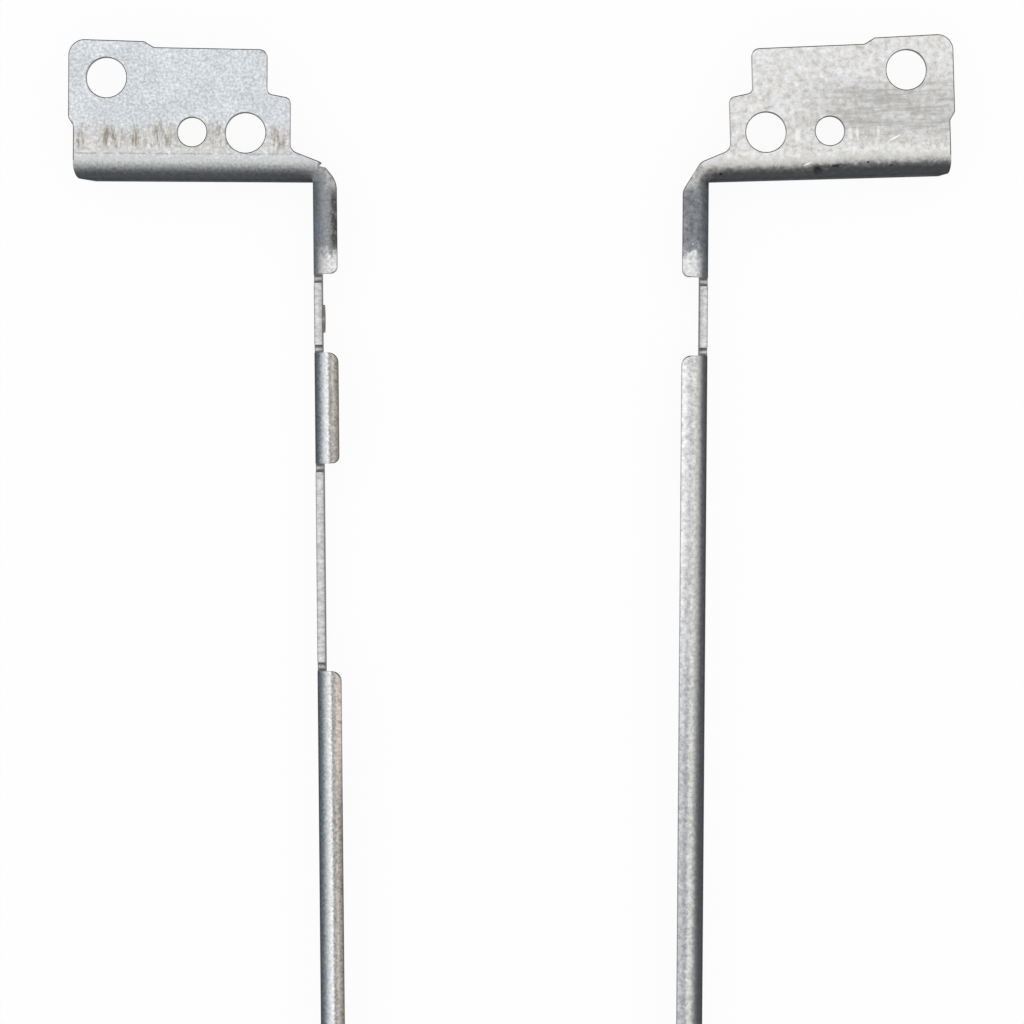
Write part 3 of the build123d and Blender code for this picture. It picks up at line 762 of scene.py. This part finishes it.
def right_lip(tree, spot):
    """Colour of the right rail's lip in its two lengths, with painted shade on the bend and a painted
    highlight on the crest.
    """
    uneven = grain(tree, spot.rail, per_mm=2.4, stretch=(1, 0.8, 1), detail=5.0, roughness=0.65)
    unevenness = step(tree, spot.fold, 0.7, 1.4, 0.05, 0.14)
    shift = times(tree, spread(tree, uneven, -1.0, 1.0), unevenness)
    ragged = compute(tree, "ADD", spot.tone_place, shift)
    first = tones(tree, ragged, RIGHT_FIRST_LIP_WITH_PAINTED_SHADE)
    mottle = grain(tree, spot.rail, per_mm=1.5, detail=5.0, roughness=0.7)
    first = lighten(tree, first, step(tree, mottle, 0.35, 0.65, 0.8, 1.2))
    pad_place = compute(tree, "ADD", spot.down, spread(tree, mottle, -1.0, 1.0))
    pad = times(tree, step(tree, ragged, *RIGHT_PAD_EDGE), step(tree, pad_place, *RIGHT_PAD_BORDER))
    first = mix_colour(tree, pad, first, LIP_PAD)
    upper = tones(tree, ragged, RIGHT_UPPER_LIP_WITH_PAINTED_LIGHT)
    lower = tones(tree, ragged, RIGHT_LOWER_LIP_WITH_PAINTED_LIGHT)
    long = mix_colour(tree, step(tree, spot.down, *UPPER_TO_LOWER), upper, lower)
    patches = grain(tree, spot.rail, per_mm=1.7, stretch=(1, 0.7, 1), detail=4.0)
    on_crest = band(tree, ragged, *CREST_BAND, soft=0.15)
    beige = times(tree, step(tree, patches, 0.48, 0.64), on_crest, BEIGE_ON_CREST)
    long = mix_colour(tree, beige, long, LIP_BEIGE)
    colour = mix_colour(tree, step(tree, spot.down, *LIP_GAP), first, long)
    sparkle = spread(tree, spot.crystals, -1.0, 1.0)
    brightness = times(tree, sparkle, step(tree, spot.fold, 0.5, 1.1, 0.07, 0.2))
    return lighten(tree, colour, compute(tree, "ADD", brightness, 1.0))


dress_bracket("right", right_plate, right_lip)

# %% [markdown]
# ## Rings round the pin
# Everything on the pin was turned, lapped or stamped round, so its marks are circles about the pin's middle
# line. A pattern of circles needs only two numbers: how far a spot lies along the pin and how far out from
# its middle. Noise that reads just these two is the same all the way round, as tool marks are.

# %% Pin rulers
pin_line = (0.0, joints["left_hinge"]["pos_m"][1], joints["left_hinge"]["pos_m"][2])


def pin_measure(tree):
    """Millimetres from the pin's middle line, and a flat pattern space for rings."""
    spot = SimpleNamespace()
    place = add(tree, "ShaderNodeTexCoord").outputs["Object"]
    settings = {"Vector": place, "Location": pin_line, "Scale": (MM, MM, MM)}
    spot.place = add(tree, "ShaderNodeMapping", settings, vector_type="TEXTURE").outputs[0]
    along, first, second = axes(tree, spot.place)
    spot.radius = length_of(tree, first, second)
    spot.ring = add(tree, "ShaderNodeCombineXYZ", {0: along, 1: spot.radius}).outputs[0]
    return spot


def dress_pin_piece(material_name, nodes, colours, rings_per_mm, roughness, relief_height):
    """Gives pieces on the pins a metal with rings; colours makes its tones from spot and rings."""
    material, tree, shader = new_metal(material_name)
    spot = pin_measure(tree)
    rings = grain(tree, spot.ring, rings_per_mm, detail=4.0)
    colour = colours(tree, spot, rings)
    connect_finish(tree, shader, colour, spread(tree, rings, *roughness), rings, relief_height * MM)
    for node in nodes:
        for hand in OUTWARD:
            frame["nodes"][f"{hand}_{node}"].material_slots[0].material = material
    print(material_name, "on", nodes)
    return material


# %% [markdown]
# ## Pin, washers, springs and nut
# The pin is turned from bright steel, so its rings are fine and clear. The friction washers are lapped and
# carry a film of grease, which gathers in brownish clouds. Disc springs are hardened: they come out of the
# oil almost black and take on blue and straw colours towards the rim. The nut is zinc plated and shiny.

# %% Pin, washer, spring and nut finishes
TURNED_STEEL = [(0.3, chart(150, 152, 155)), (0.5, chart(180, 182, 185)), (0.7, chart(205, 207, 210))]
LAPPED_STEEL = [(0.3, chart(132, 132, 130)), (0.7, chart(172, 171, 168))]
GREASE = chart(96, 82, 62)
BLUED_STEEL = [
    (1.8, chart(62, 60, 66)),
    (2.2, chart(58, 66, 88)),
    (2.5, chart(72, 80, 100)),
    (2.75, chart(110, 96, 80)),
]
NUT_ZINC = [(0.3, chart(176, 180, 186)), (0.5, chart(202, 206, 212)), (0.7, chart(220, 224, 230))]


def pin_tones(tree, spot, rings):
    """Bright turned steel."""
    return tones(tree, rings, TURNED_STEEL)


def washer_tones(tree, spot, rings):
    """Lapped steel under clouds of grease."""
    film = step(tree, grain(tree, spot.place, per_mm=0.7, detail=4.0), 0.45, 0.7)
    return mix_colour(tree, times(tree, film, 0.7), tones(tree, rings, LAPPED_STEEL), GREASE)


def spring_tones(tree, spot, rings):
    """Hardened steel, blue and straw towards the rim."""
    cloud = spread(tree, grain(tree, spot.place, per_mm=0.9), -0.3, 0.3)
    blued = tones(tree, compute(tree, "ADD", spot.radius, cloud), BLUED_STEEL)
    return lighten(tree, blued, spread(tree, rings, 0.75, 1.25))


def nut_tones(tree, spot, rings):
    """Shiny zinc plating."""
    cloud = grain(tree, spot.place, per_mm=1.1, detail=4.0)
    return lighten(tree, tones(tree, cloud, NUT_ZINC), spread(tree, rings, 0.9, 1.05))


WASHERS = ["inner_friction_washer", "outer_friction_washer", "stop_washer", "thrust_washer"]
SPRINGS = ["disc_spring_1", "disc_spring_2", "disc_spring_3", "disc_spring_4"]
pin_steel = dress_pin_piece(
    "turned_pin_steel", ["hinge_pin"], pin_tones,
    rings_per_mm=9.0, roughness=(0.22, 0.36), relief_height=0.006,
)
dress_pin_piece(
    "lapped_washer_steel", WASHERS, washer_tones,
    rings_per_mm=6.0, roughness=(0.28, 0.45), relief_height=0.004,
)
dress_pin_piece(
    "blued_spring_steel", SPRINGS, spring_tones,
    rings_per_mm=5.0, roughness=(0.3, 0.42), relief_height=0.003,
)
dress_pin_piece(
    "plated_nut_zinc", ["lock_nut"], nut_tones,
    rings_per_mm=4.0, roughness=(0.2, 0.34), relief_height=0.003,
)

# %% [markdown]
# ## Base brackets: plated sheet
# The base brackets are thicker sheet, nickel plated after bending, so their colour runs evenly over the
# bends. Under the plating the rolling lines still show along the foot, and the plating is a little cloudy.
# Both are noise: drawn out along the pin for the lines, and wide and soft for the clouds.

# %% Base bracket finish
NICKEL = [(0.3, chart(176, 174, 168)), (0.5, chart(194, 192, 186)), (0.7, chart(210, 208, 203))]
NICKEL_CLOUD = chart(158, 154, 146)
NICKEL_ROUGHNESS = (0.28, 0.42)
LINE_DEPTH = 0.004 * MM


def dress_base_brackets():
    """One plated finish for the base brackets of both hands."""
    material, tree, shader = new_metal("base_bracket_nickel")
    place = pin_measure(tree).place
    lines = grain(tree, place, per_mm=2.4, stretch=(0.1, 1, 1), detail=5.0)
    cloud = step(tree, grain(tree, place, per_mm=0.35, detail=4.0), 0.42, 0.68)
    colour = mix_colour(tree, times(tree, cloud, 0.6), tones(tree, lines, NICKEL), NICKEL_CLOUD)
    connect_finish(tree, shader, colour, spread(tree, lines, *NICKEL_ROUGHNESS), lines, LINE_DEPTH)
    for hand in OUTWARD:
        frame["nodes"][f"{hand}_base_bracket"].material_slots[0].material = material
    print("base bracket nodes:", len(tree.nodes))


dress_base_brackets()

# %% [markdown]
# ## The thread on the pins
# Outside the lock nut a short length of thread sticks out. In the CAD frame it is a plain core, so the ridge
# is added here. A ridge that climbs round a core is a curve swept with a small profile, and Geometry Nodes
# make that from a Spiral: its height is the threaded length and its turns are that length over the pitch.
# The pin has two flats, so the ridge is pressed back to them. One tree makes both ends, as two instances.

# %% Thread tree
THREAD_CORE = 1.4 * MM
RIDGE_SIZE = 0.11 * MM
THREAD_PITCH = 0.35 * MM
FLATS_HALF = 1.295 * MM
STEPS_PER_TURN = 48


def thread_tree(steel):
    """Node tree that puts a threaded end on every point of a mesh, along its outward attribute."""
    tree = bpy.data.node_groups.new("pin_thread", "GeometryNodeTree")
    sockets = tree.interface
    sockets.new_socket("Geometry", in_out="INPUT", socket_type="NodeSocketGeometry")
    for name in ("Core radius", "Ridge size", "Thread length", "Thread turns", "Flats half width"):
        sockets.new_socket(name, in_out="INPUT", socket_type="NodeSocketFloat")
    sockets.new_socket("Geometry", in_out="OUTPUT", socket_type="NodeSocketGeometry")
    given = tree.nodes.new("NodeGroupInput").outputs
    spiral = add(tree, "GeometryNodeCurveSpiral", {
        "Resolution": STEPS_PER_TURN,
        "Rotations": given["Thread turns"],
        "Start Radius": given["Core radius"],
        "End Radius": given["Core radius"],
        "Height": given["Thread length"],
    })
    upright = add(tree, "GeometryNodeSetCurveNormal", {"Curve": spiral.outputs[0]}, mode="Z_UP")
    profile = add(tree, "GeometryNodeCurvePrimitiveCircle", {"Resolution": 4, "Radius": given["Ridge size"]})
    ridge = add(tree, "GeometryNodeCurveToMesh", {
        "Curve": upright.outputs[0],
        "Profile Curve": profile.outputs[0],
        "Fill Caps": True,
    })
    side, across, height = axes(tree, add(tree, "GeometryNodeInputPosition").outputs[0])
    pressed = compute(tree, "MINIMUM", side, given["Flats half width"])
    other_flat = compute(tree, "MULTIPLY", given["Flats half width"], -1.0)
    pressed = compute(tree, "MAXIMUM", pressed, other_flat)
    flat_place = add(tree, "ShaderNodeCombineXYZ", {0: pressed, 1: across, 2: height})
    flattened = add(tree, "GeometryNodeSetPosition", {
        "Geometry": ridge.outputs[0],
        "Position": flat_place.outputs[0],
    })
    outward = add(tree, "GeometryNodeInputNamedAttribute", {"Name": "outward"}, data_type="FLOAT_VECTOR")
    turn = add(tree, "FunctionNodeAlignRotationToVector", {"Vector": outward.outputs[0]}, axis="Z")
    placed = add(tree, "GeometryNodeInstanceOnPoints", {
        "Points": given["Geometry"],
        "Instance": flattened.outputs[0],
        "Rotation": turn.outputs[0],
    })
    real = add(tree, "GeometryNodeRealizeInstances", {"Geometry": placed.outputs[0]})
    dressed = add(tree, "GeometryNodeSetMaterial", {"Geometry": real.outputs[0], "Material": steel})
    add(tree, "NodeGroupOutput", {0: dressed.outputs[0]})
    return tree


# %% [markdown]
# ## Place the threads
# The tree needs to know where each thread starts and which way it points. Both come from the frame: the
# hinge's axis gives the direction, and the boxes of the nut and the pin give where the nut ends and where
# the pin ends. The result is turned into a plain mesh, because the export knows nothing of modifiers.

# %% Make the threads
NUT_GAP = 0.18 * MM
END_BEVEL = 0.4 * MM

starts = []
directions = []
for hand, outward in OUTWARD.items():
    pin_axis = Vector(joints[f"{hand}_hinge"]["axis"])
    pin_middle = Vector(joints[f"{hand}_hinge"]["pos_m"])
    nut_low, nut_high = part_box(f"{hand}_lock_nut")
    pin_low, pin_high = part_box(f"{hand}_hinge_pin")
    nut_end = nut_high.x if outward > 0 else nut_low.x
    pin_end = pin_high.x if outward > 0 else pin_low.x
    first = nut_end + outward * NUT_GAP
    thread_length = abs(pin_end - first) - END_BEVEL
    starts.append(pin_middle + pin_axis * (first - pin_middle.x) / pin_axis.x)
    directions.append(pin_axis * outward)

points = bpy.data.meshes.new("thread_starts")
points.from_pydata(starts, [], [])
outward_data = points.attributes.new("outward", "FLOAT_VECTOR", "POINT")
for place, direction in enumerate(directions):
    outward_data.data[place].vector = direction
carrier = bpy.data.objects.new("thread_starts", points)
bpy.context.scene.collection.objects.link(carrier)
modifier = carrier.modifiers.new("pin_thread", "NODES")
modifier.node_group = thread_tree(pin_steel)
thread_sizes = {
    "Core radius": THREAD_CORE,
    "Ridge size": RIDGE_SIZE,
    "Thread length": thread_length,
    "Thread turns": thread_length / THREAD_PITCH,
    "Flats half width": FLATS_HALF,
}
for socket in modifier.node_group.interface.items_tree:
    if socket.name in thread_sizes:
        modifier[socket.identifier] = thread_sizes[socket.name]
evaluated = carrier.evaluated_get(bpy.context.evaluated_depsgraph_get())
thread_mesh = bpy.data.meshes.new_from_object(evaluated)
carrier.modifiers.remove(modifier)
bpy.data.objects.remove(carrier)
threads = bpy.data.objects.new("pin_threads", thread_mesh)
bpy.context.scene.collection.objects.link(threads)
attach(threads, "screen_brackets")
print("thread faces:", len(thread_mesh.polygons), "length in mm:", round(thread_length / MM, 2))

# %% [markdown]
# ## Table and light
# The table is white in the picture and still takes the brackets' soft shadow: for rays that the camera or a
# reflection sends out, most of it simply shines white, and the rest is an ordinary matt surface. One large
# lamp overhead and an even sky give light that leaves the colours about as they are written.

# %% Table, sky and lamp
TABLE_SIZE = 3.0
TABLE_SHINE = 0.94
TABLE_WHITE = (0.95, 0.95, 0.95, 1.0)
LAMP_SIZE = 2.0
LAMP_HEIGHT = 1.1
LAMP_WATTS = 8.0
SKY_LIGHT = (0.6, 0.6, 0.6, 1.0)


def seen_directly(tree):
    """One for rays from the camera, a reflection or clear material, zero for light that spreads."""
    path = add(tree, "ShaderNodeLightPath").outputs
    return brightest(tree, path["Is Camera Ray"], path["Is Glossy Ray"], path["Is Transmission Ray"])


table_mesh = bpy.data.meshes.new("table")
half = TABLE_SIZE / 2
table_corners = [(x, y, cad_low.z) for x, y in ((-half, -half), (half, -half), (half, half), (-half, half))]
table_mesh.from_pydata(table_corners, [], [(0, 1, 2, 3)])
table = bpy.data.objects.new("table", table_mesh)
bpy.context.scene.collection.objects.link(table)

table_paint = bpy.data.materials.new("white_table")
table_paint.use_nodes = True
paint_tree = table_paint.node_tree
paint_tree.nodes.clear()
matt = add(paint_tree, "ShaderNodeBsdfDiffuse", {"Color": TABLE_WHITE})
shine = add(paint_tree, "ShaderNodeEmission", {"Strength": 1.0})
share = times(paint_tree, seen_directly(paint_tree), TABLE_SHINE)
blend = add(paint_tree, "ShaderNodeMixShader", {0: share, 1: matt.outputs[0], 2: shine.outputs[0]})
add(paint_tree, "ShaderNodeOutputMaterial", {"Surface": blend.outputs[0]})
table_mesh.materials.append(table_paint)

world = bpy.data.worlds.new("studio")
bpy.context.scene.world = world
world.use_nodes = True
world.node_tree.nodes["Background"].inputs["Color"].default_value = SKY_LIGHT

lamp_data = bpy.data.lights.new("overhead_lamp", "AREA")
lamp_data.size = LAMP_SIZE
lamp_data.energy = LAMP_WATTS
lamp = bpy.data.objects.new("overhead_lamp", lamp_data)
lamp.location = (0, 0, LAMP_HEIGHT)
bpy.context.scene.collection.objects.link(lamp)
bpy.context.scene.view_settings.view_transform = "Standard"
print("table", TABLE_SIZE, "m wide, lamp of", LAMP_WATTS, "W at", LAMP_HEIGHT, "m")
